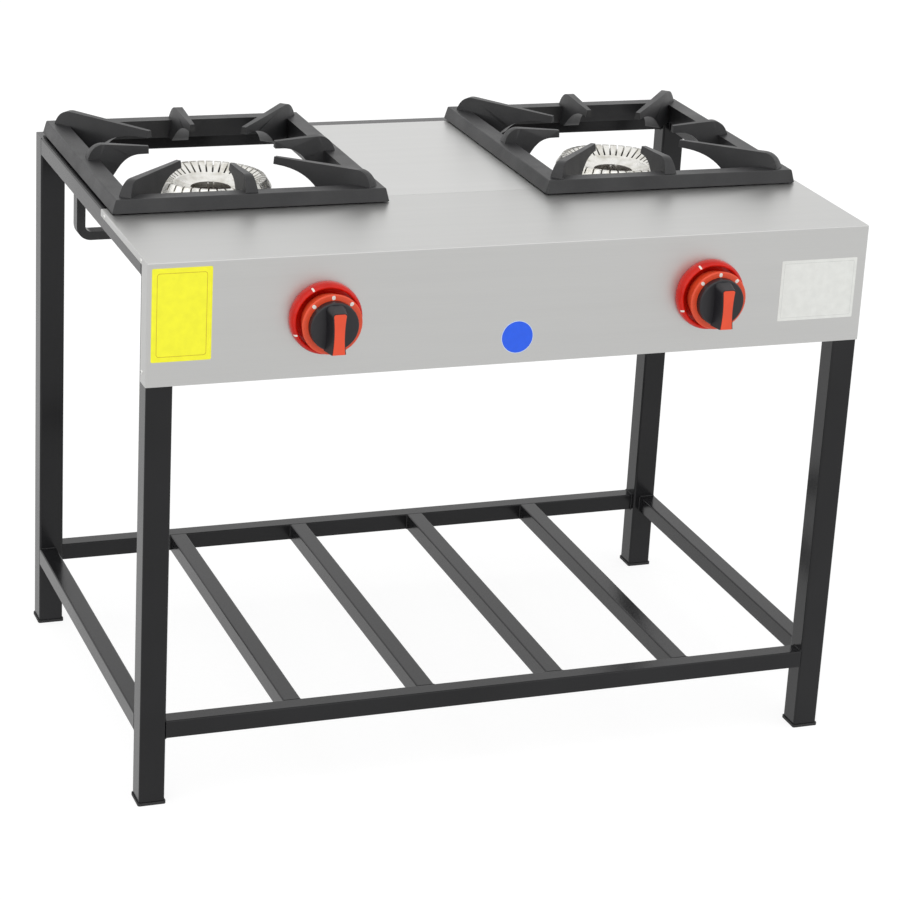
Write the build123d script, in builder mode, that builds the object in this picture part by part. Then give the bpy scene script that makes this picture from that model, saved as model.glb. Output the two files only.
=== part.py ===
from build123d import *
from math import atan2, degrees, hypot, sqrt
import os

# Two-burner stock pot range on an open tubular stand.
# Millimetres, +Z up. Pieces are drawn round the stand's middle and saved with the origin on
# the floor at the middle of the whole outline, knobs included.
# The front panel faces -Y, and +X is to the right of someone who stands before it.

# ---- stand -------------------------------------------------------------------
frame_width = 1000.0
frame_height = 750.0
leg_size = 35.0
leg_wall = 1.5
leg_corner = 3.0
foot_lip = 4.0
foot_proud = 1.5
foot_plug_height = 16.0
foot_plug_wall = 2.5
foot_plug_clearance = 0.2
rail_size = 25.0
rail_wall = 1.5
rail_corner = 2.0
shelf_height = 120.0
slat_size = 25.0
slat_count = 4

# ---- sheet metal ----------------------------------------------------------------
sheet = 1.2
cover_top_depth = 242.0
panel_height = 163.0
flange_drop = 9.0
side_return_depth = 25.0
panel_lip = 12.0
seam_gap = 0.3
screw_radius = 1.6
screw_head_radius = 3.2
screw_head_height = 1.5
screw_length = 8.0
screw_clearance = 0.2
rail_screw_inset = 20.0
leg_screw_inset = 5.5
return_screw_up = 15.0

# ---- cast-iron grates -----------------------------------------------------------
grate_width = 380.0
grate_depth = 420.0
grate_overhang = 32.0
grate_edge_gap = 7.0
grate_rear_gap = 10.0
ring_height = 17.5
ring_end_width = 27.0
ring_slope = 5.0
ring_corner = 5.0
ring_edge = 2.0
opening_corner = 8.0
rib_drop = 8.0
rib_width = 3.0
rib_clearance = 0.6
rib_corner = 4.0
rib_front_clearance = 1.5
pad_height = 1.5
pad_radius = 5.0
pad_inset = 9.0
finger_rise = 14.3
hump_rise = 5.5
hump_reach = 9.0
hump_back = 9.0
hump_back_drop = 7.0
finger_back = 16.0
finger_root_width = 26.0
finger_tip_width = 19.0
finger_draft = 9.0
tip_height = 10.0
tip_flat = 11.0
side_gusset = 17.0
corner_gusset = 58.0
side_tip_reach = 90.0
front_tip_reach = 102.0
corner_tip_reach = 103.0

# ---- burners ----------------------------------------------------------------------
head_radius = 84.0
head_rim_height = 5.0
head_bevel_height = 12.5
crest_drop = 11.0
crest_radius = 76.0
crest_width = 6.0
chamber_slope = 1.0
head_seat_drop = 38.0
cone_radius = 50.0
cone_height = 11.0
hole_depth = 17.0
head_hole_radius = 28.0
head_wall = 5.0
head_roof = 4.5
chamber_outer = 69.0
chamber_inner = 40.0
slot_count = 40
slot_width = 2.4
slot_inner_radius = 52.0
slot_depth = 7.5
body_outer = 78.0
body_taper = 6.0
body_height = 35.0
body_bore = 32.0
body_rim_rise = 2.0
body_rim_clearance = 0.4
trough_floor = 6.0
trough_wall = 4.0
foot_pad_length = 26.0
foot_pad_offset = 52.0
foot_pad_height = 8.0
bridge_width = 8.0
bridge_height = 6.0
bridge_drop = 6.0
stud_radius = 1.5
stud_offset = 4.0
stud_height = 22.0
venturi_offset = 86.0
venturi_drop = 54.0
venturi_radius = 16.0
venturi_bore = 12.0
venturi_tail = 36.0
venturi_end_wall = 6.0
venturi_mouth = -150.0
port_length = 36.0
port_height = 14.0
bell_radius = 23.0
bell_length = 26.0
bell_wall = 3.0
jet_bar_width = 8.0
jet_bar_thickness = 6.0
jet_boss_radius = 10.0

# ---- burner cradles ----------------------------------------------------------------
cradle_thickness = 12.0
cradle_width = 20.0
cradle_bend = 8.0
bolt_radius = 3.0
bolt_head_radius = 5.0
bolt_head_height = 4.0
bolt_grip = 10.0
bolt_clearance = 0.2

# ---- gas train ---------------------------------------------------------------------
knob_inset = 34.5
knob_drop = 82.0
manifold_radius = 10.65
manifold_bore = 8.0
manifold_setback = 70.0
manifold_left = -420.0
manifold_right = 470.0
end_cap_radius = 14.0
end_cap_length = 18.0
end_cap_depth = 12.0
inlet_hex_radius = 14.0
inlet_hex_length = 12.0
inlet_thread_radius = 10.48
inlet_thread_length = 16.0
inlet_bore = 7.0
bracket_offset = 150.0
bracket_thickness = 3.0
bracket_flange = 20.0
bracket_boss = 18.0
bracket_clearance = 0.1
tap_radius = 14.0
tap_length = 34.0
tap_nose_radius = 9.0
tap_nose_length = 14.0
tap_nose_gap = 6.0
outlet_radius = 7.0
outlet_reach = 24.0
outlet_inset = 20.0
saddle_width = 20.0
saddle_height = 44.0
saddle_clearance = 0.1
strap_thickness = 2.4
clamp_screw_radius = 2.0
clamp_screw_offset = 18.0
clamp_screw_length = 12.0
clamp_head_radius = 3.5
clamp_head_height = 3.0
tube_radius = 4.0
tube_bend = 12.0
tube_nut_radius = 8.0
tube_nut_length = 9.0
injector_radius = 7.0
injector_length = 22.0
injector_entry = 4.0
injector_clearance = 0.1
jet_radius = 3.0
jet_length = 8.0

# ---- control knobs ------------------------------------------------------------------
push_travel = 3.0
spindle_radius = 4.0
spindle_flat = 1.0
spindle_clearance = 0.06
spindle_depth = 8.0
spindle_front = 38.0
collar_radius = 7.0
collar_length = 3.0
face_gap = 0.3
panel_hole_radius = 11.0
bezel_radius = 48.0
bezel_edge = 3.0
bezel_crest = 14.0
bezel_crest_radius = 43.5
bezel_lip = 2.0
bezel_floor = 2.0
bezel_hole_radius = 12.0
skirt_radius = 40.0
skirt_back_radius = 34.0
skirt_back = 7.0
skirt_front = 33.0
skirt_round = 1.5
skirt_wall = 2.5
web_recess = 4.0
web_thickness = 3.0
disc_radius = 32.0
disc_front = 43.5
disc_round = 2.0
disc_clearance = 0.1
hub_radius = 9.0
hub_back = 9.0
grip_front = 62.0
grip_base_width = 27.0
grip_base_top = 30.0
grip_base_round = 8.0
grip_top = 24.2
grip_bottom = 30.5
grip_round = 4.0
grip_front_width = 19.0
grip_waist = 1.6
pointer_margin = 1.2
pointer_thickness = 2.4
pointer_proud = 0.6

# ---- places worked out from the sizes above ---------------------------------------------
half_width = frame_width / 2
frame_depth = cover_top_depth - grate_overhang + grate_depth + grate_rear_gap
half_depth = frame_depth / 2
leg_x = half_width - leg_size / 2
leg_y = half_depth - leg_size / 2
leg_inner_x = half_width - leg_size
leg_inner_y = half_depth - leg_size
top_rail_z = frame_height - rail_size / 2
rail_under = frame_height - rail_size
shelf_rail_z = shelf_height - rail_size / 2
side_rail_x = half_width - rail_size / 2
side_rail_inner = half_width - rail_size
end_rail_y = half_depth - rail_size / 2
end_rail_inner = half_depth - rail_size
front_face = -half_depth
panel_face = front_face - sheet
sheet_top = frame_height + sheet
seam_y = front_face + cover_top_depth
plate_width = 2 * (half_width - grate_edge_gap - grate_width + rail_size)
middle_rail_x = plate_width / 2 - rail_size / 2
panel_bottom = sheet_top - panel_height

flange_screw_z = sheet_top - flange_drop / 2 - sheet / 2
rail_screw = (seam_y - rail_screw_inset, flange_screw_z)
leg_screws = (
    (-leg_inner_y - leg_screw_inset, flange_screw_z),
    (-leg_y, panel_bottom + return_screw_up),
)

grate_x = half_width - grate_edge_gap - grate_width / 2
grate_y = seam_y - grate_overhang + grate_depth / 2
ring_bottom = sheet_top + pad_height
ring_top = ring_bottom + ring_height
rib_bottom = ring_bottom - rib_drop
rib_x = grate_x - plate_width / 2 - sheet - rib_clearance
opening_x = rib_x - rib_width
opening_y = grate_depth / 2 - ring_end_width

crest_z = frame_height - crest_drop
head_seat = frame_height - head_seat_drop
bevel_foot = crest_z - head_bevel_height
head_outer_wall = chamber_outer + head_wall
body_bottom = head_seat - body_height
bridge_top = head_seat - bridge_drop
venturi_axis = frame_height - venturi_drop
cradle_top = body_bottom - foot_pad_height
cradle_under = cradle_top - cradle_thickness

knob_height = frame_height - knob_drop
tap_x = grate_x - knob_inset
manifold_y = front_face + manifold_setback
nose_front = front_face + tap_nose_gap
tap_front = nose_front + tap_nose_length
tap_back = tap_front + tap_length
outlet_y = tap_front + outlet_inset
injector_front = venturi_mouth + injector_entry
injector_back = injector_front - injector_length
bezel_inner = bezel_crest_radius - bezel_lip
web_front = skirt_front - web_recess
corner_share = 1 - sqrt(0.5)

outline_front = panel_face - grip_front - pointer_proud
outline_rear = half_depth + foot_proud

os.makedirs("parts", exist_ok=True)
sides = (("left", -1), ("right", 1))


def save(builder, name):
    """Centres a finished piece on the outline's depth, names it and writes it as its own file."""
    piece = builder.part.translate((0, -(outline_front + outline_rear) / 2, 0), transform=True)
    piece.label = name
    export_step(piece, f"parts/{name}.step")


def along_x(x, y, z):
    """A plane at the start of what runs to the right: local x is +Y and local y is +Z."""
    return Plane(origin=(x, y, z), x_dir=(0, 1, 0), z_dir=(1, 0, 0))


def along_y(x, y, z):
    """A plane at the start of what runs to the rear: local x is -X and local y is +Z."""
    return Plane(origin=(x, y, z), x_dir=(-1, 0, 0), z_dir=(0, 1, 0))


def facing_front(x, forward):
    """A plane in front of the panel at a knob's middle: local x is +X and local y is +Z."""
    return Plane(origin=(x, panel_face - forward, knob_height), x_dir=(1, 0, 0), z_dir=(0, -1, 0))


def burner_section(cx, cy):
    """The plane of a burner's turned profile: local x is the radius and local y is the height."""
    return Plane(origin=(cx, cy, 0), x_dir=(1, 0, 0), z_dir=(0, -1, 0))


def knob_section(x):
    """The plane of a knob's turned profile: local x is the radius, local y the way to the front."""
    return Plane(origin=(x, panel_face, knob_height), x_dir=(0, 0, 1), z_dir=(1, 0, 0))


# ---- stand: legs and feet ------------------------------------------------------------------
def leg(name, x, y, screw_side=0):
    """A square tube that stands on its foot cap and is closed at the top."""
    bore = leg_size - 2 * leg_wall
    with BuildPart() as tube:
        with BuildSketch(Plane.XY.offset(foot_lip)):
            with Locations((x, y)):
                RectangleRounded(leg_size, leg_size, leg_corner)
        extrude(amount=frame_height - foot_lip)
        with BuildSketch(Plane.XY.offset(foot_lip)):
            with Locations((x, y)):
                Rectangle(bore, bore)
        extrude(amount=frame_height - foot_lip - leg_wall, mode=Mode.SUBTRACT)
        if screw_side:
            for screw_y, screw_z in leg_screws:
                with BuildSketch(along_x(x, screw_y, screw_z)):
                    Circle(screw_radius + screw_clearance)
                extrude(amount=screw_side * leg_size, mode=Mode.SUBTRACT)
    save(tube, name)


def foot(name, x, y):
    """A moulded cap: a lip under the tube and a hollow plug inside it."""
    plug = leg_size - 2 * leg_wall - 2 * foot_plug_clearance
    lip = leg_size + 2 * foot_proud
    with BuildPart() as cap:
        with BuildSketch(Plane.XY):
            with Locations((x, y)):
                RectangleRounded(lip, lip, leg_corner)
        extrude(amount=foot_lip)
        with BuildSketch(Plane.XY.offset(foot_lip)):
            with Locations((x, y)):
                Rectangle(plug, plug)
                Rectangle(plug - 2 * foot_plug_wall, plug - 2 * foot_plug_wall, mode=Mode.SUBTRACT)
        extrude(amount=foot_plug_height)
    save(cap, name)


for side, sx in sides:
    leg(f"leg_front_{side}", sx * leg_x, -leg_y, screw_side=sx)
    leg(f"leg_rear_{side}", sx * leg_x, leg_y)
    foot(f"foot_front_{side}", sx * leg_x, -leg_y)
    foot(f"foot_rear_{side}", sx * leg_x, leg_y)


# ---- stand: rails and shelf ---------------------------------------------------------------------
def rail(name, start, length, size=rail_size, screw=None, screw_side=0):
    """A square tube from the plane `start`, with a screw hole in its outer wall where asked."""
    with BuildPart() as tube:
        with BuildSketch(start):
            RectangleRounded(size, size, rail_corner)
            Rectangle(size - 2 * rail_wall, size - 2 * rail_wall, mode=Mode.SUBTRACT)
        extrude(amount=length)
        if screw:
            with BuildSketch(along_x(start.origin.X, *screw)):
                Circle(screw_radius + screw_clearance)
            extrude(amount=screw_side * size, mode=Mode.SUBTRACT)
    save(tube, name)


for side, sx in sides:
    top_start = along_y(sx * side_rail_x, -leg_inner_y, top_rail_z)
    shelf_start = along_y(sx * side_rail_x, -leg_inner_y, shelf_rail_z)
    middle_start = along_y(sx * middle_rail_x, seam_y, top_rail_z)
    rail(f"side_rail_{side}", top_start, 2 * leg_inner_y, screw=rail_screw, screw_side=sx)
    rail(f"shelf_rail_{side}", shelf_start, 2 * leg_inner_y)
    rail(f"middle_rail_{side}", middle_start, end_rail_inner - seam_y)

cross_start = along_x(-side_rail_inner, seam_y - rail_size / 2, top_rail_z)
rail("front_rail", along_x(-leg_inner_x, -end_rail_y, top_rail_z), 2 * leg_inner_x)
rail("rear_rail", along_x(-leg_inner_x, end_rail_y, top_rail_z), 2 * leg_inner_x)
rail("cross_rail", cross_start, 2 * side_rail_inner)
rail("shelf_rail_front", along_x(-leg_inner_x, -end_rail_y, shelf_rail_z), 2 * leg_inner_x)
rail("shelf_rail_rear", along_x(-leg_inner_x, end_rail_y, shelf_rail_z), 2 * leg_inner_x)

slat_pitch = 2 * side_rail_inner / (slat_count + 1)
for number in range(1, slat_count + 1):
    slat_start = along_y(
        -side_rail_inner + number * slat_pitch, -end_rail_inner, shelf_height - slat_size / 2
    )
    rail(f"shelf_slat_{number}", slat_start, 2 * end_rail_inner, size=slat_size)

# ---- sheet metal: front cover -----------------------------------------------------------------------
# One folded sheet: top strip, upright panel, flanges over the side rails, returns round the legs.
with BuildPart() as front_cover:
    with BuildSketch(Plane.XY.offset(panel_bottom)):
        with Locations((0, (panel_face + seam_y) / 2)):
            Rectangle(frame_width + 2 * sheet, seam_y - panel_face)
    extrude(amount=panel_height)
    outer_folds = (
        front_cover.edges().filter_by(Axis.X).group_by(Axis.Z)[-1].sort_by(Axis.Y)[:1]
        + front_cover.edges().filter_by(Axis.Y).group_by(Axis.Z)[-1]
        + front_cover.edges().filter_by(Axis.Z).group_by(Axis.Y)[0]
    )
    fillet(outer_folds, sheet)
    with BuildSketch(Plane.XY.offset(panel_bottom)):
        with Locations((0, (front_face + seam_y) / 2)):
            Rectangle(frame_width, seam_y - front_face)
    extrude(amount=panel_height - sheet, mode=Mode.SUBTRACT)
    return_back = front_face + side_return_depth
    with BuildSketch(Plane.XY.offset(panel_bottom)):
        with Locations((0, (return_back + seam_y) / 2)):
            Rectangle(frame_width + 2 * panel_lip, seam_y - return_back)
    extrude(amount=panel_height - flange_drop, mode=Mode.SUBTRACT)
    with BuildSketch(Plane.XY.offset(panel_bottom)):
        with Locations((0, front_face + panel_lip / 2)):
            Rectangle(2 * leg_inner_x, panel_lip)
    extrude(amount=sheet)
    with BuildSketch(facing_front(0, 0)):
        with Locations((-tap_x, 0), (tap_x, 0)):
            Circle(panel_hole_radius)
    extrude(amount=-sheet, mode=Mode.SUBTRACT)
    for screw_y, screw_z in (rail_screw,) + leg_screws:
        with BuildSketch(along_x(-half_width - sheet, screw_y, screw_z)):
            Circle(screw_radius + screw_clearance)
        extrude(amount=frame_width + 2 * sheet, mode=Mode.SUBTRACT)
save(front_cover, "front_cover")

# A shallow tray upside down over the two middle rails, between the grates.
with BuildPart() as middle_plate:
    plate_start = seam_y + seam_gap
    plate_length = end_rail_inner - seam_gap - plate_start
    with BuildSketch(along_y(0, plate_start, sheet_top - flange_drop / 2)):
        Rectangle(plate_width + 2 * sheet, flange_drop)
    extrude(amount=plate_length)
    fillet(middle_plate.edges().filter_by(Axis.Y).group_by(Axis.Z)[-1], sheet)
    with BuildSketch(along_y(0, plate_start, sheet_top - sheet - flange_drop / 2)):
        Rectangle(plate_width, flange_drop)
    extrude(amount=plate_length, mode=Mode.SUBTRACT)
save(middle_plate, "middle_plate")

# Pan-head screws that hold the cover's flanges and returns to the side rails and front legs.
with BuildPart() as cover_screws:
    for side, sx in sides:
        for screw_y, screw_z in (rail_screw,) + leg_screws:
            with BuildSketch(along_x(sx * (half_width + sheet), screw_y, screw_z)):
                Circle(screw_head_radius)
            extrude(amount=sx * screw_head_height)
            with BuildSketch(along_x(sx * (half_width + sheet), screw_y, screw_z)):
                Circle(screw_radius)
            extrude(amount=-sx * screw_length)
save(cover_screws, "cover_screws")


# ---- cast-iron grates -----------------------------------------------------------------------------------
def finger(cx, cy, root_x, root_y, tip_reach, gusset):
    """One pot support, from the ring's inner edge at the root to its tip beside the burner.

    Its side view is drawn along the finger, with 0 at the ring's inner edge: a round hump over
    the ring, a straight ridge down to a blunt tip, and an underside that arches to a gusset.
    """
    span = hypot(root_x, root_y)
    length = span - tip_reach
    inward = (-root_x / span, -root_y / span, 0)
    sideways = (-inward[1], inward[0], 0)
    ridge_tip = ring_top + finger_rise
    hump = ridge_tip + hump_rise
    tip_under = ridge_tip - tip_height
    draft_reach = hump - rib_bottom
    with BuildPart() as bar:
        with BuildSketch(Plane(origin=(cx + root_x, cy + root_y, rib_bottom), x_dir=inward)):
            with BuildLine():
                Polyline(
                    (-finger_back - draft_reach, -finger_root_width / 2),
                    (0, -finger_root_width / 2),
                    (length, -finger_tip_width / 2),
                    (length + draft_reach, -finger_tip_width / 2),
                    (length + draft_reach, finger_tip_width / 2),
                    (length, finger_tip_width / 2),
                    (0, finger_root_width / 2),
                    (-finger_back - draft_reach, finger_root_width / 2),
                    close=True,
                )
            make_face()
        extrude(amount=draft_reach, taper=finger_draft)
        side_view = Plane(
            origin=(cx + root_x, cy + root_y, 0), x_dir=inward, z_dir=[-part for part in sideways]
        )
        with BuildSketch(side_view):
            with BuildLine():
                rear = Spline(
                    (-finger_back, ring_top - ring_edge),
                    (-hump_back, hump - hump_back_drop),
                    (hump_reach, hump),
                    tangents=((0.25, 1), (1, -hump_rise / length)),
                )
                ridge = Line(rear @ 1, (length, ridge_tip))
                tip = Line(ridge @ 1, (length, tip_under))
                under = Line(tip @ 1, (length - tip_flat, tip_under))
                arch = Spline(under @ 1, (gusset, rib_bottom), tangents=((-1, 0), (-0.8, -1)))
                Polyline(
                    arch @ 1, (-rib_width, rib_bottom), (-finger_back, ring_bottom), rear @ 0
                )
            make_face()
        extrude(amount=finger_root_width, both=True, mode=Mode.INTERSECT)
    return bar.part


def grate(name, cx, cy):
    """A cast ring with eight fingers that rise from it and end round the burner.

    Ribs under its sides and rear, and the fingers' gussets, drop into the opening of the frame.
    """
    reaches = (
        (opening_x, 0, side_tip_reach, side_gusset),
        (0, opening_y, front_tip_reach, side_gusset),
        (opening_x, opening_y, corner_tip_reach, corner_gusset),
    )
    fingers = []
    for reach_x, reach_y, tip_reach, gusset in reaches:
        for sx in (-1, 1) if reach_x else (1,):
            for sy in (-1, 1) if reach_y else (1,):
                fingers.append(finger(cx, cy, sx * reach_x, sy * reach_y, tip_reach, gusset))
    rib_front = seam_y + rib_front_clearance
    rib_rear = cy + opening_y + rib_width
    with BuildPart() as casting:
        with BuildSketch(Plane.XY.offset(ring_bottom)):
            with Locations((cx, cy)):
                RectangleRounded(grate_width, grate_depth, ring_corner)
        extrude(amount=ring_height, taper=degrees(atan2(ring_slope, ring_height)))
        fillet(casting.faces().sort_by(Axis.Z)[-1].edges(), ring_edge)
        with BuildSketch(Plane.XY.offset(ring_bottom)):
            with Locations((cx, cy)):
                RectangleRounded(2 * opening_x, 2 * opening_y, opening_corner)
        extrude(amount=ring_height, mode=Mode.SUBTRACT)
        with BuildSketch(Plane.XY.offset(rib_bottom)):
            with Locations((cx, (rib_front + rib_rear) / 2)):
                RectangleRounded(2 * rib_x, rib_rear - rib_front, rib_corner)
            with Locations((cx, cy)):
                Rectangle(2 * opening_x, 2 * opening_y, mode=Mode.SUBTRACT)
        extrude(amount=rib_drop)
        add(fingers)
        with BuildSketch(Plane.XY.offset(rib_bottom)):
            with Locations((cx, cy)):
                Rectangle(grate_width, grate_depth)
            with Locations((cx, (rib_front + rib_rear) / 2)):
                drop_in = (2 * rib_x, rib_rear - rib_front, rib_corner)
                RectangleRounded(*drop_in, mode=Mode.SUBTRACT)
        extrude(amount=rib_drop, mode=Mode.SUBTRACT)
        pad_x = grate_width / 2 - pad_inset
        pad_y = grate_depth / 2 - pad_inset
        for sy, seat in ((-1, sheet_top), (1, frame_height)):
            with BuildSketch(Plane.XY.offset(seat)):
                with Locations((cx - pad_x, cy + sy * pad_y), (cx + pad_x, cy + sy * pad_y)):
                    Circle(pad_radius)
            extrude(amount=ring_bottom - seat)
    save(casting, name)


for side, sx in sides:
    grate(f"grate_{side}", sx * grate_x, grate_y)


# ---- burners ------------------------------------------------------------------------------------------------
def burner_head(name, cx, cy):
    """A crater-shaped casting over a gas chamber, with flame slots cut right across its crest."""
    crest_inner = crest_radius - crest_width
    chamber_roof = crest_z - head_roof - 2 * chamber_slope
    cone_foot = crest_z - cone_height
    hole_top = crest_z - hole_depth
    with BuildPart() as casting:
        with BuildSketch(burner_section(cx, cy)):
            with BuildLine():
                Polyline(
                    (crest_inner, crest_z),
                    (crest_radius, crest_z),
                    (head_radius, bevel_foot),
                    (head_radius, bevel_foot - head_rim_height),
                    (head_outer_wall, head_seat + head_wall),
                    (head_outer_wall, head_seat),
                    (chamber_outer, head_seat),
                    (chamber_outer, chamber_roof),
                    (crest_inner - head_wall, chamber_roof - chamber_slope),
                    (cone_radius - head_wall, cone_foot - head_roof),
                    (chamber_inner, cone_foot - head_roof - chamber_slope),
                    (chamber_inner, head_seat),
                    (chamber_inner - head_wall, head_seat),
                    (chamber_inner - head_wall, hole_top - head_roof),
                    (head_hole_radius, hole_top - head_roof),
                    (head_hole_radius, hole_top),
                    (cone_radius, cone_foot),
                    close=True,
                )
            make_face()
        revolve(axis=Axis((cx, cy, 0), (0, 0, 1)))
        with BuildSketch(burner_section(cx, cy)):
            with BuildLine():
                Polyline(
                    (slot_inner_radius, crest_z + slot_width),
                    (slot_inner_radius, cone_foot - head_roof),
                    (chamber_outer, crest_z - slot_depth),
                    (head_radius + slot_width, crest_z - slot_depth),
                    (head_radius + slot_width, crest_z + slot_width),
                    close=True,
                )
            make_face()
        slot = extrude(amount=slot_width / 2, both=True, mode=Mode.PRIVATE)
        with Locations((cx, cy, 0)):
            with PolarLocations(0, slot_count):
                add(Pos(-cx, -cy, 0) * slot, mode=Mode.SUBTRACT)
    save(casting, name)


def burner_body(name, cx, cy):
    """A cast-iron bowl with a gas trough, and the mixing tube that feeds it from the front."""
    foot_radius = body_outer - body_taper
    trough_outer = chamber_outer - trough_wall
    trough_inner = chamber_inner + trough_wall
    trough_bottom = body_bottom + trough_floor
    rim_inner = head_outer_wall + body_rim_clearance
    tube_x = cx + venturi_offset
    neck_y = venturi_mouth + bell_length
    with BuildPart() as casting:
        with BuildSketch(burner_section(cx, cy)):
            with BuildLine():
                Polyline(
                    (body_bore, body_bottom),
                    (foot_radius, body_bottom),
                    (body_outer, head_seat + body_rim_rise),
                    (rim_inner, head_seat + body_rim_rise),
                    (rim_inner, head_seat),
                    (body_bore, head_seat),
                    close=True,
                )
            make_face()
        revolve(axis=Axis((cx, cy, 0), (0, 0, 1)))
        with BuildSketch(along_y(tube_x, neck_y, venturi_axis)):
            Circle(venturi_radius)
        extrude(amount=cy + venturi_tail - neck_y)
        fillet(casting.edges().filter_by(GeomType.CIRCLE).sort_by(Axis.Y)[-1], bell_length / 2)
        with BuildSketch(along_x(tube_x, 0, venturi_axis)):
            with BuildLine():
                Polyline(
                    (neck_y, 0),
                    (neck_y, venturi_radius),
                    (venturi_mouth, bell_radius),
                    (venturi_mouth, 0),
                    close=True,
                )
            make_face()
        revolve(axis=Axis((tube_x, 0, venturi_axis), (0, 1, 0)))
        with BuildSketch(burner_section(cx, cy)):
            with Locations(((trough_inner + trough_outer) / 2, (trough_bottom + head_seat) / 2)):
                Rectangle(trough_outer - trough_inner, head_seat - trough_bottom)
        revolve(axis=Axis((cx, cy, 0), (0, 0, 1)), mode=Mode.SUBTRACT)
        with BuildSketch(along_x(tube_x, 0, venturi_axis)):
            with BuildLine():
                Polyline(
                    (cy + venturi_tail - venturi_end_wall, 0),
                    (cy + venturi_tail - venturi_end_wall, venturi_bore),
                    (neck_y, venturi_bore),
                    (venturi_mouth, bell_radius - bell_wall),
                    (venturi_mouth, 0),
                    close=True,
                )
            make_face()
        revolve(axis=Axis((tube_x, 0, venturi_axis), (0, 1, 0)), mode=Mode.SUBTRACT)
        port_start = cx + trough_outer - trough_wall
        with BuildSketch(along_x(port_start, cy, venturi_axis)):
            Rectangle(port_length, port_height)
        extrude(amount=tube_x - port_start, mode=Mode.SUBTRACT)
        with BuildSketch(along_y(tube_x, venturi_mouth, venturi_axis)):
            Rectangle(jet_bar_width, 2 * bell_radius - bell_wall)
            Circle(jet_boss_radius)
        extrude(amount=jet_bar_thickness)
        with BuildSketch(along_y(tube_x, venturi_mouth, venturi_axis)):
            Circle(injector_radius + injector_clearance)
        extrude(amount=jet_bar_thickness, mode=Mode.SUBTRACT)
        with BuildSketch(Plane.XY.offset(bridge_top - bridge_height)):
            with Locations((cx, cy)):
                Rectangle(2 * body_bore + trough_wall, bridge_width)
        extrude(amount=bridge_height)
        with BuildSketch(Plane.XY.offset(cradle_top)):
            with Locations((cx - foot_pad_offset, cy), (cx + foot_pad_offset, cy)):
                Rectangle(foot_pad_length, cradle_width)
        extrude(amount=foot_pad_height)
        with BuildSketch(Plane.XY.offset(cradle_top)):
            with Locations((cx - foot_pad_offset, cy), (cx + foot_pad_offset, cy)):
                Circle(bolt_radius + bolt_clearance)
        extrude(amount=bolt_grip + bolt_clearance, mode=Mode.SUBTRACT)
    save(casting, name)


def cradle(name, cx, cy, low_x, high_x):
    """A bent flat bar that hangs from a side rail and a middle rail and carries one burner."""
    width = high_x - low_x + cradle_thickness
    height = rail_under - cradle_under
    with BuildPart() as bar:
        middle = ((low_x + high_x) / 2, cy - cradle_width / 2, 0)
        with BuildSketch(Plane(origin=middle, x_dir=(1, 0, 0), z_dir=(0, -1, 0))):
            with Locations((0, cradle_under + height / 2)):
                Rectangle(width, height)
            with Locations((0, cradle_top + height / 2)):
                Rectangle(width - 2 * cradle_thickness, height, mode=Mode.SUBTRACT)
        extrude(amount=-cradle_width)
        bends = bar.edges().filter_by(Axis.Y).group_by(Axis.Z)
        fillet(bends[0], cradle_bend + cradle_thickness)
        fillet(bar.edges().filter_by(Axis.Y).filter_by_position(Axis.Z, cradle_top, cradle_top), cradle_bend)
        with BuildSketch(Plane.XY.offset(cradle_under)):
            with Locations((cx - foot_pad_offset, cy), (cx + foot_pad_offset, cy)):
                Circle(bolt_radius + bolt_clearance)
        extrude(amount=cradle_thickness, mode=Mode.SUBTRACT)
    save(bar, name)


for side, sx in sides:
    burner_head(f"burner_head_{side}", sx * grate_x, grate_y)
    burner_body(f"burner_body_{side}", sx * grate_x, grate_y)
    ends = sorted((sx * side_rail_x, sx * middle_rail_x))
    cradle(f"burner_cradle_{side}", sx * grate_x, grate_y, *ends)

# Two bright studs on the bridge in the middle of each burner.
with BuildPart() as burner_studs:
    for side, sx in sides:
        with BuildSketch(Plane.XY.offset(bridge_top)):
            with Locations((sx * grate_x, grate_y)):
                with GridLocations(2 * stud_offset, 0, 2, 1):
                    Circle(stud_radius)
        extrude(amount=stud_height)
save(burner_studs, "burner_studs")

# Hex bolts from under the cradles into the burners' feet.
with BuildPart() as burner_bolts:
    for side, sx in sides:
        for bolt_x in (sx * grate_x - foot_pad_offset, sx * grate_x + foot_pad_offset):
            with BuildSketch(Plane.XY.offset(cradle_under - bolt_head_height)):
                with Locations((bolt_x, grate_y)):
                    RegularPolygon(bolt_head_radius, 6)
            extrude(amount=bolt_head_height)
            with BuildSketch(Plane.XY.offset(cradle_under)):
                with Locations((bolt_x, grate_y)):
                    Circle(bolt_radius)
            extrude(amount=cradle_thickness + bolt_grip)
save(burner_bolts, "burner_bolts")

# ---- gas train -------------------------------------------------------------------------------------------------
with BuildPart() as manifold:
    with BuildSketch(along_x(manifold_left, manifold_y, knob_height)):
        Circle(manifold_radius)
        Circle(manifold_bore, mode=Mode.SUBTRACT)
    extrude(amount=manifold_right - manifold_left)
    with BuildSketch(along_y(0, manifold_y - manifold_radius, knob_height)):
        with Locations((-tap_x, 0), (tap_x, 0)):
            Circle(tube_radius)
    extrude(amount=manifold_radius, mode=Mode.SUBTRACT)
save(manifold, "manifold")

# Cap over the closed end of the pipe.
with BuildPart() as end_cap:
    with BuildSketch(along_x(manifold_left - end_cap_length + end_cap_depth, manifold_y, knob_height)):
        RegularPolygon(end_cap_radius, 6)
    extrude(amount=end_cap_length)
    with BuildSketch(along_x(manifold_left, manifold_y, knob_height)):
        Circle(manifold_radius + saddle_clearance)
    extrude(amount=end_cap_depth, mode=Mode.SUBTRACT)
save(end_cap, "manifold_cap")

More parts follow.
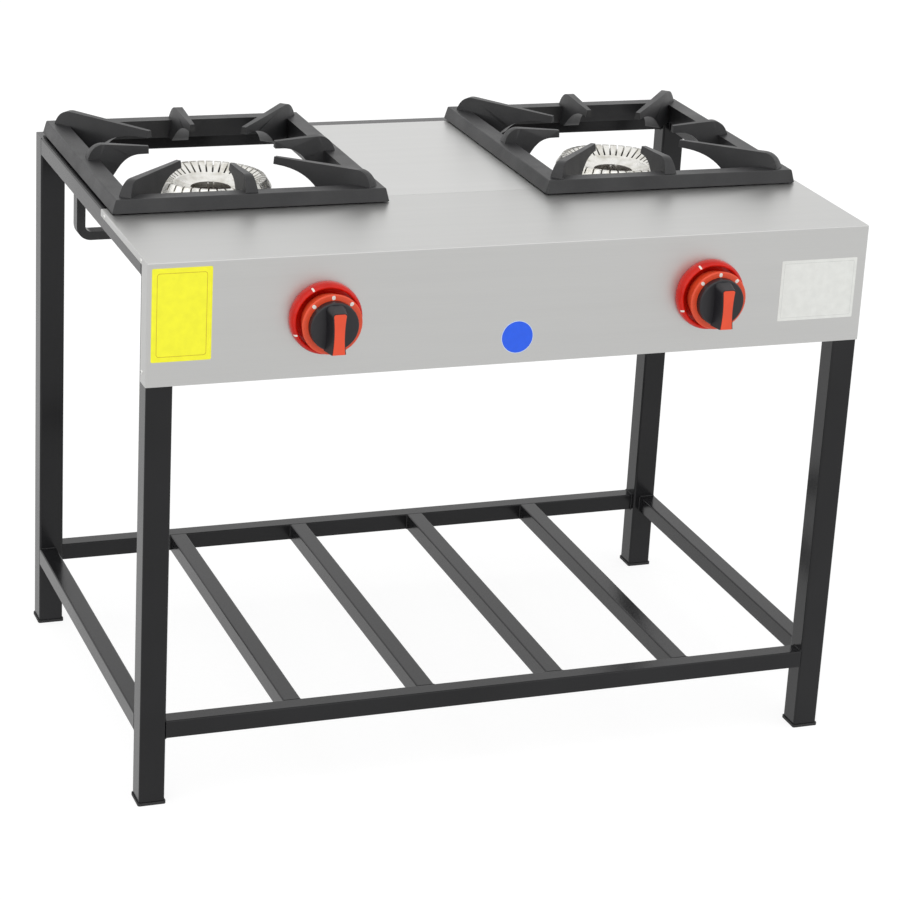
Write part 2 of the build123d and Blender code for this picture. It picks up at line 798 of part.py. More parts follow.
# Hex nipple on the supply end, with a plain cylinder where its outer thread is.
with BuildPart() as inlet_nipple:
    with BuildSketch(along_x(manifold_right, manifold_y, knob_height)):
        RegularPolygon(inlet_hex_radius, 6)
    extrude(amount=inlet_hex_length)
    with BuildSketch(along_x(manifold_right + inlet_hex_length, manifold_y, knob_height)):
        Circle(inlet_thread_radius)
    extrude(amount=inlet_thread_length)
    with BuildSketch(along_x(manifold_right, manifold_y, knob_height)):
        Circle(inlet_bore)
    extrude(amount=inlet_hex_length + inlet_thread_length, mode=Mode.SUBTRACT)
save(inlet_nipple, "inlet_nipple")

# Two hangers under the front rail that the pipe passes through.
with BuildPart() as manifold_brackets:
    for side, sx in sides:
        left_face = sx * bracket_offset - bracket_thickness / 2
        with BuildSketch(along_x(left_face, 0, 0)):
            with BuildLine():
                Polyline(
                    (front_face, rail_under),
                    (-end_rail_inner, rail_under),
                    (manifold_y + bracket_boss, knob_height),
                    (manifold_y - bracket_boss, knob_height),
                    (front_face, rail_under - bracket_flange),
                    close=True,
                )
            make_face()
            with Locations((manifold_y, knob_height)):
                Circle(bracket_boss)
                Circle(manifold_radius + bracket_clearance, mode=Mode.SUBTRACT)
        extrude(amount=bracket_thickness)
        with BuildSketch(Plane.XY.offset(rail_under)):
            with Locations((sx * bracket_offset, -end_rail_y)):
                Rectangle(bracket_flange, rail_size)
        extrude(amount=-bracket_thickness)
save(manifold_brackets, "manifold_brackets")


clamp_screw_places = ((0, clamp_screw_offset), (0, -clamp_screw_offset))


def tap_body(name, x):
    """A brass tap: nose for the spindle, barrel, side outlet, and a saddle on the pipe."""
    with BuildPart() as tap:
        with BuildSketch(along_y(x, nose_front, knob_height)):
            Circle(tap_nose_radius)
        extrude(amount=tap_nose_length)
        with BuildSketch(along_y(x, tap_front, knob_height)):
            Circle(tap_radius)
        extrude(amount=tap_length)
        with BuildSketch(along_y(x, tap_back, knob_height)):
            Rectangle(saddle_width, saddle_height)
        extrude(amount=manifold_y - tap_back)
        with BuildSketch(along_x(x, outlet_y, knob_height)):
            Circle(outlet_radius)
        extrude(amount=outlet_reach)
        with BuildSketch(along_y(x, nose_front, knob_height)):
            Circle(spindle_radius + spindle_clearance)
        extrude(amount=spindle_depth + push_travel + face_gap, mode=Mode.SUBTRACT)
        with BuildSketch(along_x(x - saddle_width / 2, manifold_y, knob_height)):
            Circle(manifold_radius + saddle_clearance)
        extrude(amount=saddle_width, mode=Mode.SUBTRACT)
        with BuildSketch(along_y(x, manifold_y, knob_height)):
            with Locations(*clamp_screw_places):
                Circle(clamp_screw_radius + screw_clearance)
        extrude(amount=-clamp_screw_length, mode=Mode.SUBTRACT)
    save(tap, name)


# Straps round the back of the pipe, with flat ears on the taps' saddles.
with BuildPart() as manifold_straps:
    for side, sx in sides:
        with BuildSketch(along_x(sx * tap_x - saddle_width / 2, manifold_y, knob_height)):
            Circle(manifold_radius + saddle_clearance + strap_thickness)
            Rectangle(2 * strap_thickness, saddle_height)
            Circle(manifold_radius + saddle_clearance, mode=Mode.SUBTRACT)
            with Locations((-saddle_height / 2, 0)):
                Rectangle(saddle_height, saddle_height, mode=Mode.SUBTRACT)
        extrude(amount=saddle_width)
        with BuildSketch(along_y(sx * tap_x, manifold_y, knob_height)):
            with Locations(*clamp_screw_places):
                Circle(clamp_screw_radius + screw_clearance)
        extrude(amount=strap_thickness, mode=Mode.SUBTRACT)
save(manifold_straps, "manifold_straps")

# Two screws through each strap into the saddle.
with BuildPart() as strap_screws:
    for side, sx in sides:
        with BuildSketch(along_y(sx * tap_x, manifold_y + strap_thickness, knob_height)):
            with Locations(*clamp_screw_places):
                Circle(clamp_head_radius)
        extrude(amount=clamp_head_height)
        with BuildSketch(along_y(sx * tap_x, manifold_y + strap_thickness, knob_height)):
            with Locations(*clamp_screw_places):
                Circle(clamp_screw_radius)
        extrude(amount=-clamp_screw_length)
save(strap_screws, "strap_screws")


def supply_tube(name, x, tube_x):
    """A bent tube from a tap's side outlet to the injector, with a nut at each end."""
    start = (x + outlet_reach, outlet_y, knob_height)
    with BuildPart() as tube:
        with BuildLine() as route:
            FilletPolyline(
                start,
                (tube_x, outlet_y, knob_height),
                (tube_x, outlet_y, venturi_axis),
                (tube_x, injector_back, venturi_axis),
                radius=tube_bend,
            )
        with BuildSketch(along_x(*start)):
            Circle(tube_radius)
        sweep(path=route.line)
        with BuildSketch(along_x(*start)):
            RegularPolygon(tube_nut_radius, 6)
        extrude(amount=tube_nut_length)
        with BuildSketch(along_y(tube_x, injector_back, venturi_axis)):
            RegularPolygon(tube_nut_radius, 6)
        extrude(amount=-tube_nut_length)
    save(tube, name)


def injector(name, tube_x):
    """A brass injector, held in the bar across the bell with its jet in the mouth."""
    with BuildPart() as holder:
        with BuildSketch(along_y(tube_x, injector_back, venturi_axis)):
            Circle(injector_radius)
        extrude(amount=injector_length)
        with BuildSketch(along_y(tube_x, injector_front, venturi_axis)):
            Circle(jet_radius)
        extrude(amount=jet_length)
    save(holder, name)


for side, sx in sides:
    tap_body(f"tap_body_{side}", sx * tap_x)
    supply_tube(f"supply_tube_{side}", sx * tap_x, sx * grate_x + venturi_offset)
    injector(f"injector_{side}", sx * grate_x + venturi_offset)


# ---- control knobs -----------------------------------------------------------------------------------------------
def spindle(name, x):
    """The tap's spindle, with a flat where the knob grips it."""
    back = panel_face - (nose_front + spindle_depth)
    with BuildPart() as rod:
        with BuildSketch(facing_front(x, back)):
            Circle(spindle_radius)
        extrude(amount=spindle_front - back)
        with BuildSketch(facing_front(x, hub_back)):
            with Locations((0, 2 * spindle_radius - spindle_flat)):
                Rectangle(2 * spindle_radius, 2 * spindle_radius)
        extrude(amount=spindle_front - hub_back, mode=Mode.SUBTRACT)
    save(rod, name)


def collar(name, x):
    """A ring on the spindle that meets the tap's nose when the knob is pushed home."""
    back = panel_face - nose_front + push_travel + face_gap
    with BuildPart() as ring:
        with BuildSketch(facing_front(x, back)):
            Circle(collar_radius)
            Circle(spindle_radius + spindle_clearance, mode=Mode.SUBTRACT)
        extrude(amount=collar_length)
    save(ring, name)


def bezel(name, x):
    """A domed ring on the panel, with a deep well that the knob's skirt sinks into."""
    dome_width = bezel_radius - bezel_crest_radius
    with BuildPart() as ring:
        with BuildSketch(knob_section(x)):
            with BuildLine():
                edge = Line((bezel_radius, 0), (bezel_radius, bezel_edge))
                EllipticalCenterArc(
                    (bezel_crest_radius, bezel_edge), dome_width, bezel_crest - bezel_edge, arc_size=90
                )
                lip = CenterArc((bezel_crest_radius, bezel_crest - bezel_lip), bezel_lip, 90, 90)
                Polyline(
                    lip @ 1,
                    (bezel_inner, bezel_floor),
                    (bezel_hole_radius, bezel_floor),
                    (bezel_hole_radius, 0),
                    edge @ 0,
                )
            make_face()
        revolve(axis=Axis((x, 0, knob_height), (0, 1, 0)))
    save(ring, name)


def skirt(name, x):
    """The knob's outer cup, with a web that the black grip's disc and hub sit in."""
    with BuildPart() as cup:
        with BuildSketch(knob_section(x)):
            with BuildLine():
                Polyline(
                    (skirt_back_radius, skirt_back),
                    (skirt_radius, skirt_front - skirt_round),
                    (skirt_radius - skirt_round, skirt_front),
                    (disc_radius + disc_clearance, skirt_front),
                    (disc_radius + disc_clearance, web_front),
                    (hub_radius + disc_clearance, web_front),
                    (hub_radius + disc_clearance, web_front - web_thickness),
                    (skirt_radius - skirt_wall - skirt_round, web_front - web_thickness),
                    (skirt_back_radius - skirt_wall, skirt_back),
                    close=True,
                )
            make_face()
        revolve(axis=Axis((x, 0, knob_height), (0, 1, 0)))
    save(cup, name)


def waisted_outline(width, top, bottom, corner):
    """The edges of an upright strip with hollow flanks and round top corners."""
    edge = width / 2
    middle = (top - bottom) / 2
    with BuildLine() as outline:
        right = ThreePointArc((edge, -bottom), (edge - grip_waist, middle), (edge, top - corner))
        right_corner = ThreePointArc(
            right @ 1,
            (edge - corner * corner_share, top - corner * corner_share),
            (edge - corner, top),
        )
        crown = Line(right_corner @ 1, (corner - edge, top))
        left_corner = ThreePointArc(
            crown @ 1,
            (corner * corner_share - edge, top - corner * corner_share),
            (-edge, top - corner),
        )
        left = ThreePointArc(left_corner @ 1, (grip_waist - edge, middle), (-edge, -bottom))
        Line(left @ 1, right @ 0)
    return outline.line.edges()


def pointer_outline():
    """The strip's outline, a margin inside the front of the grip."""
    return waisted_outline(
        grip_front_width - 2 * pointer_margin,
        grip_top - pointer_margin,
        grip_bottom,
        grip_round - pointer_margin,
    )


def grip(name, x):
    """The black disc, its hub on the spindle, and the waisted grip that stands on it."""
    base = waisted_outline(grip_base_width, grip_base_top, grip_bottom, grip_base_round)
    front = waisted_outline(grip_front_width, grip_top, grip_bottom, grip_round)
    bore = spindle_radius + spindle_clearance
    with BuildPart() as moulding:
        with BuildSketch(facing_front(x, web_front)):
            Circle(disc_radius)
        extrude(amount=disc_front - web_front)
        fillet(moulding.edges().sort_by(Axis.Y)[0], disc_round)
        with BuildSketch(facing_front(x, disc_front - disc_round)):
            make_face(base)
        with BuildSketch(facing_front(x, grip_front)):
            make_face(front)
        loft()
        with BuildSketch(facing_front(x, hub_back)):
            Circle(hub_radius)
        extrude(amount=web_front - hub_back)
        with BuildSketch(facing_front(x, hub_back)):
            Circle(bore)
            with Locations((0, 2 * bore - spindle_flat)):
                Rectangle(2 * bore, 2 * bore, mode=Mode.SUBTRACT)
        extrude(amount=spindle_front - hub_back + face_gap, mode=Mode.SUBTRACT)
        with BuildSketch(facing_front(x, grip_front)):
            make_face(pointer_outline())
        extrude(amount=pointer_proud - pointer_thickness, mode=Mode.SUBTRACT)
    save(moulding, name)


def pointer(name, x):
    """The coloured strip let into the front of the grip."""
    with BuildPart() as strip:
        with BuildSketch(facing_front(x, grip_front + pointer_proud)):
            make_face(pointer_outline())
        extrude(amount=-pointer_thickness)
    save(strip, name)


for side, sx in sides:
    for piece, make in (
        ("spindle", spindle),
        ("spindle_collar", collar),
        ("bezel", bezel),
        ("knob_skirt", skirt),
        ("knob_grip", grip),
        ("knob_pointer", pointer),
    ):
        make(f"{piece}_{side}", sx * tap_x)
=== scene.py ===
"""Two-burner stock pot range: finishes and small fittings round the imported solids.

Metres, +Z up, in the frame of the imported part. The front panel faces -Y.
"""

import math

import bmesh
import bpy
from bpy.props import FloatProperty, FloatVectorProperty, IntProperty, PointerProperty
from mathutils import Euler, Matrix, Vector


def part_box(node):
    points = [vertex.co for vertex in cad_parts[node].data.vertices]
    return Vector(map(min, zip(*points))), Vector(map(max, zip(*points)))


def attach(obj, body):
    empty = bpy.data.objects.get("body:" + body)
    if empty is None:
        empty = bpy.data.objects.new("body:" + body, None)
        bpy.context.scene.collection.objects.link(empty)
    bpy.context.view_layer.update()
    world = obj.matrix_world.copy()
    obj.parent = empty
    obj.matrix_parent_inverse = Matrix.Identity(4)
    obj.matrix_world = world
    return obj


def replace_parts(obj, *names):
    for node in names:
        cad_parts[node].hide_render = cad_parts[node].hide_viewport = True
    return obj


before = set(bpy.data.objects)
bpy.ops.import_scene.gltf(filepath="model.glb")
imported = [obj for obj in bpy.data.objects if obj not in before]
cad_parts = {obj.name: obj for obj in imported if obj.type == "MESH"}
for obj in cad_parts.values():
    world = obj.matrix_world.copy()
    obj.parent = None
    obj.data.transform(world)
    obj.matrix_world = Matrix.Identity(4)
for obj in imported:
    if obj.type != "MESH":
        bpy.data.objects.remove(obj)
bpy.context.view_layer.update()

bl_info = {
    "name": "Stock Pot Range",
    "version": (1, 0, 0),
    "blender": (4, 5, 0),
    "location": "3D View > Sidebar > Pot Range",
    "description": "Finishes, labels, marks, screws and welds of a two-burner stock pot range",
    "category": "Object",
}

SIDES = ("left", "right")
MM = 0.001
LEG_SCREW_BACK = 0.0307
BEZEL_CREST_INSET = 4.5 * MM
BEZEL_FOOT = 3.0 * MM
SKIRT_MARK_ANGLES = (47, 90, 135)
RING_MARK_ANGLES = (117, 204)
RING_MARK_HALF_TURN = 0.030
RING_MARK_SPAN = (0.35, 0.95)
WELD_UNEVENNESS = 0.18
WELD_END_MARGIN = 0.08
SCREW_DOME_POWER = 0.55
RECESS_SPAN = 1.15
TALL_LABEL = ((-0.495, 0.621), (-0.417, 0.744))
WIDE_LABEL = ((0.375, 0.622), (0.488, 0.707))
ROUND_LABEL = ((-0.0255, 0.6015), (0.0195, 0.6465))
FLOOR_REACH = 30.0
CAMERA_PLACE = (-1.3768, -3.64935, 1.8345)
CAMERA_TURN = (69.6193, -3.4042, -20.9704)
CAMERA_LENS = 116.85
CAMERA_SHIFT = (-0.0675, -0.0183)
LAMP_SPREAD = 90

PANEL_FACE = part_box("front_cover")[0].y
HEAD_CENTRE = sum(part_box("burner_head_right"), Vector()) / 2
KNOB_CENTRE = sum(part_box("bezel_right"), Vector()) / 2


# ---- short calls for node trees ---------------------------------------------------------


def place(tree, kind, inputs=None, **settings):
    """Adds a node, sets its fields, and joins or sets its inputs by name or number."""
    node = tree.nodes.new(kind)
    for field, value in settings.items():
        setattr(node, field, value)
    for key, value in (inputs or {}).items():
        if isinstance(value, bpy.types.NodeSocket):
            tree.links.new(value, node.inputs[key])
        else:
            node.inputs[key].default_value = value
    return node


def sum_of(tree, first, second):
    """The sum of two numbers."""
    return place(tree, "ShaderNodeMath", {0: first, 1: second}, operation="ADD").outputs[0]


def product(tree, first, second):
    """The product of two numbers."""
    return place(tree, "ShaderNodeMath", {0: first, 1: second}, operation="MULTIPLY").outputs[0]


def new_material(name):
    """A material with a principled shader, and the vector of its object coordinates."""
    material = bpy.data.materials.new(name)
    material.use_nodes = True
    tree = material.node_tree
    shader = next(node for node in tree.nodes if node.type == "BSDF_PRINCIPLED")
    coords = place(tree, "ShaderNodeTexCoord").outputs["Object"]
    return material, tree, shader, coords


def noise(tree, vector, scale, detail=2.0, stretch=(1, 1, 1)):
    """Cloudy noise with so many features to the metre, stretched along an axis where asked."""
    mapped = place(tree, "ShaderNodeMapping", {"Vector": vector, "Scale": stretch}).outputs[0]
    made = place(tree, "ShaderNodeTexNoise", {"Vector": mapped, "Scale": scale, "Detail": detail})
    return made.outputs[0]


def tint(tree, factor, low, high, start=0.35, end=0.65):
    """A colour that goes from low to high while factor goes from start to end."""
    ramp = place(tree, "ShaderNodeValToRGB", {"Fac": factor})
    first, last = ramp.color_ramp.elements
    first.position, first.color = start, (*low, 1)
    last.position, last.color = end, (*high, 1)
    return ramp.outputs["Color"]


def between(tree, factor, low, high, start=0.3, end=0.7):
    """A number that goes from low to high while factor goes from start to end."""
    limits = {"Value": factor, "From Min": start, "From Max": end, "To Min": low, "To Max": high}
    return place(tree, "ShaderNodeMapRange", limits).outputs["Result"]


def relief(tree, height, depth, strength=1.0, below=None):
    """Bump from a height between 0 and 1 times a depth, over another bump where given."""
    inputs = {"Height": height, "Distance": depth, "Strength": strength}
    if below is not None:
        inputs["Normal"] = below
    return place(tree, "ShaderNodeBump", inputs).outputs["Normal"]


def seen_rays(tree):
    """The kinds of ray, and 1 for those that the camera, a reflection or glass sends."""
    rays = place(tree, "ShaderNodeLightPath").outputs
    mirrored = sum_of(tree, rays["Is Glossy Ray"], rays["Is Transmission Ray"])
    total = sum_of(tree, rays["Is Camera Ray"], mirrored)
    return rays, place(tree, "ShaderNodeMath", {0: total, 1: 1.0}, operation="MINIMUM").outputs[0]


def constants(shader, values):
    """Sets the shader's own sockets that are the same all over the surface."""
    for socket, value in values.items():
        shader.inputs[socket].default_value = value


def shade(colour, amount):
    """A colour made lighter or darker by a factor."""
    return tuple(min(1.0, part * amount) for part in colour)


# ---- finishes ------------------------------------------------------------------------------


def enamel(name, colour, rough, peel, shine=0.5):
    """Sprayed enamel: nearly even, with an orange-peel skin and slightly uneven gloss."""
    material, tree, shader, coords = new_material(name)
    cloud = noise(tree, coords, 5.0, 3.0)
    speck = noise(tree, coords, 260.0, 2.0)
    tree.links.new(tint(tree, cloud, shade(colour, 0.8), shade(colour, 1.25)), shader.inputs["Base Color"])
    gloss = sum_of(tree, between(tree, cloud, rough * 0.8, rough * 1.2), between(tree, speck, -0.02, 0.02))
    tree.links.new(gloss, shader.inputs["Roughness"])
    skin = relief(tree, noise(tree, coords, 320.0, 1.0), peel)
    tree.links.new(skin, shader.inputs["Normal"])
    constants(shader, {"Specular IOR Level": shine})
    return material


def casting(name, colour, light, rough, sand, metallic=0.0):
    """Sand-cast iron: grainy skin, soft hollows, and paler where the grain stands up."""
    material, tree, shader, coords = new_material(name)
    cloud = noise(tree, coords, 22.0, 4.0)
    grain = noise(tree, coords, 900.0, 3.0)
    mixed = sum_of(tree, product(tree, cloud, 0.6), product(tree, grain, 0.4))
    tree.links.new(tint(tree, mixed, colour, light, 0.38, 0.66), shader.inputs["Base Color"])
    tree.links.new(between(tree, mixed, rough + 0.08, rough - 0.06), shader.inputs["Roughness"])
    hollow = relief(tree, cloud, sand * 2.0, 0.5)
    tree.links.new(relief(tree, grain, sand, 0.7, hollow), shader.inputs["Normal"])
    constants(shader, {"Metallic": metallic})
    return material


def brushed_sheet(name, colour, rough, line_pitch, wave):
    """Stainless sheet with fine lines along X, a faint mottle and the slow waves of thin metal."""
    material, tree, shader, coords = new_material(name)
    lines = noise(tree, coords, 1.0 / line_pitch, 2.0, (0.012, 1, 1))
    streaks = noise(tree, coords, 60.0, 3.0, (0.05, 1, 1))
    mottle = noise(tree, coords, 3.0, 3.0)
    clouds = sum_of(tree, product(tree, streaks, 0.3), product(tree, mottle, 0.4))
    tone = sum_of(tree, product(tree, lines, 0.3), clouds)
    tree.links.new(tint(tree, tone, shade(colour, 0.98), shade(colour, 1.02)), shader.inputs["Base Color"])
    tree.links.new(between(tree, tone, rough + 0.02, rough - 0.02, 0.35, 0.65), shader.inputs["Roughness"])
    slow = relief(tree, noise(tree, coords, 2.2, 1.0), wave)
    tree.links.new(relief(tree, lines, line_pitch * 0.06, 0.25, slow), shader.inputs["Normal"])
    constants(shader, {"Metallic": 1.0})
    return material


def turned_metal(name, colour, rough, mark_pitch, mark_depth, centre=None, stain=None):
    """Machined metal: fine turning marks round an upright axis, over a faint casting mottle.

    The two burners share one finish, so the rings are drawn round the same place on each side.
    """
    material, tree, shader, coords = new_material(name)
    mottle = noise(tree, coords, 70.0, 4.0)
    fine = noise(tree, coords, 700.0, 2.0)
    low = shade(stain or colour, 1.0 if stain else 0.86)
    tree.links.new(tint(tree, mottle, low, colour, 0.3, 0.55), shader.inputs["Base Color"])
    tree.links.new(between(tree, mottle, rough + 0.1, rough - 0.06), shader.inputs["Roughness"])
    normal = relief(tree, fine, mark_depth, 0.4, relief(tree, mottle, mark_depth * 3, 0.35))
    if centre is not None:
        apart = place(tree, "ShaderNodeSeparateXYZ", {"Vector": coords})
        sideways = place(tree, "ShaderNodeMath", {0: apart.outputs["X"]}, operation="ABSOLUTE").outputs[0]
        across = sum_of(tree, sideways, -centre.x)
        along = sum_of(tree, apart.outputs["Y"], -centre.y)
        flat = place(tree, "ShaderNodeCombineXYZ", {"X": across, "Y": along})
        radius = place(tree, "ShaderNodeVectorMath", {0: flat.outputs[0]}, operation="LENGTH")
        turns = product(tree, radius.outputs["Value"], 2 * math.pi / mark_pitch)
        ring = place(tree, "ShaderNodeMath", {0: turns}, operation="SINE").outputs[0]
        normal = relief(tree, ring, mark_depth, 0.5, normal)
    tree.links.new(normal, shader.inputs["Normal"])
    constants(shader, {"Metallic": 1.0})
    return material


def moulding(name, colour, rough, grain_depth, shine=0.5, deep=None):
    """Moulded plastic: even colour with a faint flow mottle, and a fine or polished skin."""
    material, tree, shader, coords = new_material(name)
    flow = noise(tree, coords, 35.0, 3.0)
    skin = noise(tree, coords, 1500.0, 2.0)
    low = deep or shade(colour, 0.9)
    tree.links.new(tint(tree, flow, low, colour, 0.3, 0.6), shader.inputs["Base Color"])
    tree.links.new(between(tree, flow, rough + 0.04, rough - 0.03), shader.inputs["Roughness"])
    tree.links.new(relief(tree, skin, grain_depth, 0.6), shader.inputs["Normal"])
    constants(shader, {"Specular IOR Level": shine})
    return material


def printed(name, colour, rough=0.35):
    """A printed film or a dab of marking paint: slightly uneven ink under a satin skin."""
    material, tree, shader, coords = new_material(name)
    ink = noise(tree, coords, 90.0, 4.0)
    tree.links.new(tint(tree, ink, shade(colour, 0.94), colour), shader.inputs["Base Color"])
    tree.links.new(between(tree, ink, rough + 0.06, rough - 0.06), shader.inputs["Roughness"])
    tree.links.new(relief(tree, ink, 0.00006, 0.5), shader.inputs["Normal"])
    return material


def dress(material, *names):
    """Gives CAD nodes a material."""
    for name in names:
        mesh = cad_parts[name].data
        mesh.materials.clear()
        mesh.materials.append(material)


def soften(width, *names):
    """Rounds the sharp edges of CAD nodes, whose loose triangles are joined first."""
    for name in names:
        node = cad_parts[name]
        node.modifiers.new("join", "WELD").merge_threshold = 0.00001
        bevel = node.modifiers.new("edges", "BEVEL")
        bevel.width = width
        bevel.segments = 2
        bevel.limit_method = "ANGLE"
        bevel.angle_limit = math.radians(32)
        bevel.use_clamp_overlap = True


def both(*stems):
    """Node names for both sides."""
    return [f"{stem}_{side}" for stem in stems for side in SIDES]


# ---- short calls for meshes -------------------------------------------------------------------


def new_piece(name, mesh, material=None):
    """Puts a mesh in the scene as a piece at the origin."""
    piece = bpy.data.objects.new(name, mesh)
    bpy.context.scene.collection.objects.link(piece)
    if material:
        mesh.materials.append(material)
    return piece


def mesh_from(name, build):
    """A mesh filled by a function that gets an empty bmesh; its normals point outwards."""
    shell = bmesh.new()
    build(shell)
    bmesh.ops.recalc_face_normals(shell, faces=shell.faces)
    mesh = bpy.data.meshes.new(name)
    shell.to_mesh(mesh)
    shell.free()
    return mesh


def rounded_outline(width, height, corner, steps=6):
    """Points of a rectangle with round corners, centred on 0."""
    points = []
    for turn, (sx, sy) in enumerate(((1, 1), (-1, 1), (-1, -1), (1, -1))):
        middle = (sx * (width / 2 - corner), sy * (height / 2 - corner))
        for step in range(steps + 1):
            angle = math.pi / 2 * (turn + step / steps)
            points.append((middle[0] + corner * math.cos(angle), middle[1] + corner * math.sin(angle)))
    return points


def slab(shell, outline, to_world, thickness, inner=None):
    """A thin plate with a softened front edge, or a frame where an inner outline is given."""
    soft = min(thickness * 0.4, 0.0002)
    loops = []
    layers = ((0.0, 0.0), (thickness - soft, 0.0), (thickness, soft))
    for lift, inset in layers:
        loops.append([shell.verts.new(to_world(*shrink(p, inset), lift)) for p in outline])
    if inner:
        for lift, inset in reversed(layers):
            loops.append([shell.verts.new(to_world(*shrink(p, -inset), lift)) for p in inner])
    pairs = list(zip(loops, loops[1:]))
    if inner:
        pairs.append((loops[-1], loops[0]))
    for low, high in pairs:
        for i in range(len(low)):
            j = (i + 1) % len(low)
            shell.faces.new((low[i], low[j], high[j], high[i]))
    if not inner:
        shell.faces.new(loops[-1])
        shell.faces.new(reversed(loops[0]))


def shrink(point, inset):
    """A point moved towards the middle by an inset along both directions."""
    return tuple(v - math.copysign(min(inset, abs(v)), v) for v in point)


def made_real(carrier, name, material):
    """The plain mesh that a carrier's modifiers give, as a piece; the carrier goes."""
    depsgraph = bpy.context.evaluated_depsgraph_get()
    mesh = bpy.data.meshes.new_from_object(carrier.evaluated_get(depsgraph))
    mesh.name = name
    old = carrier.data
    bpy.data.objects.remove(carrier)
    bpy.data.meshes.remove(old)
    if not len(mesh.polygons):
        raise RuntimeError(f"{name} has no faces")
    if not mesh.materials:
        mesh.materials.append(material)
    return new_piece(name, mesh)


def run_tree(tree, points, edges, values, name, material):
    """Runs a geometry tree on points or lines and returns the piece it makes."""
    mesh = bpy.data.meshes.new(f"{name}_guide")
    mesh.from_pydata(points, edges, [])
    carrier = new_piece(f"{name}_guide", mesh)
    modifier = carrier.modifiers.new("make", "NODES")
    modifier.node_group = tree
    sockets = {item.name: item.identifier for item in tree.interface.items_tree if item.in_out == "INPUT"}
    for key, value in values.items():
        modifier[sockets[key]] = value
    modifier[sockets["Material"]] = material
    return made_real(carrier, name, material)


def geometry_tree(name, inputs):
    """An empty geometry tree with named number inputs and a material input."""
    tree = bpy.data.node_groups.new(name, "GeometryNodeTree")
    tree.interface.new_socket("Geometry", in_out="INPUT", socket_type="NodeSocketGeometry")
    for label, kind, default in inputs:
        socket = tree.interface.new_socket(label, in_out="INPUT", socket_type=kind)
        socket.default_value = default
    tree.interface.new_socket("Material", in_out="INPUT", socket_type="NodeSocketMaterial")
    tree.interface.new_socket("Geometry", in_out="OUTPUT", socket_type="NodeSocketGeometry")
    start = place(tree, "NodeGroupInput")
    return tree, start.outputs


def close_tree(tree, start, instances, smooth=True):
    """Ends a geometry tree: real meshes, smooth where asked, with the material."""
    real = place(tree, "GeometryNodeRealizeInstances", {"Geometry": instances}).outputs[0]
    shaded = place(tree, "GeometryNodeSetShadeSmooth", {"Geometry": real, "Shade Smooth": smooth}).outputs[0]
    painted = place(tree, "GeometryNodeSetMaterial", {"Geometry": shaded, "Material": start["Material"]})
    place(tree, "NodeGroupOutput", {"Geometry": painted.outputs[0]})


# ---- screws --------------------------------------------------------------------------------------


